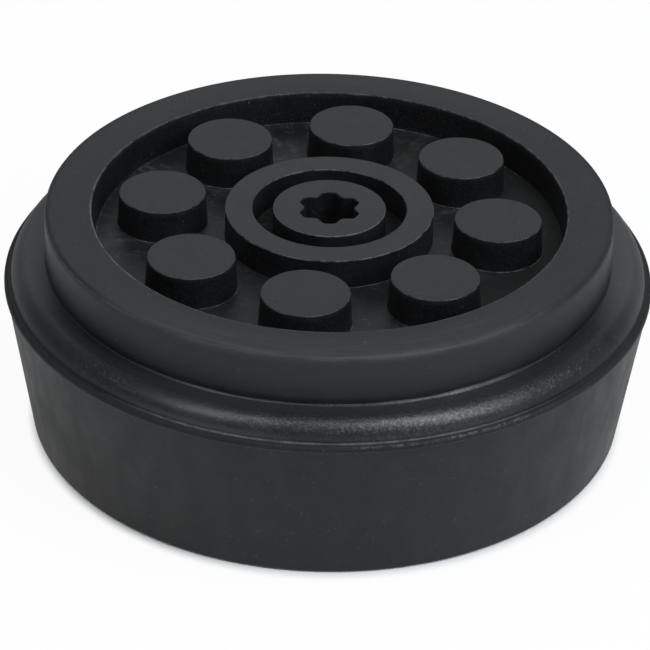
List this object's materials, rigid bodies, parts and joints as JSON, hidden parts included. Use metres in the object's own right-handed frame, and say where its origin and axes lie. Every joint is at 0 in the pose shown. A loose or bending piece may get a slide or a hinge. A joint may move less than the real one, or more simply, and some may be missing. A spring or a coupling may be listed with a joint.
{
  "type": "jack pad",
  "caption": "Moulded rubber jack pad: tapered round block with a round shoulder, an upright ring, drafted studs round a collar, and a star socket in a centre boss.",
  "frame": {"origin": "centre of the base face, on the pad's axis", "axes": "+Z along the axis from the base face to the studs; +X and +Y run through gaps between studs"},
  "size_m": [0.12, 0.12, 0.043],
  "materials": {
    "rubber": "matte as moulded, slightly glossy on the round shoulder"
  },
  "bodies": {
    "root": {"jack_pad": "rubber"}
  },
  "joints": []
}
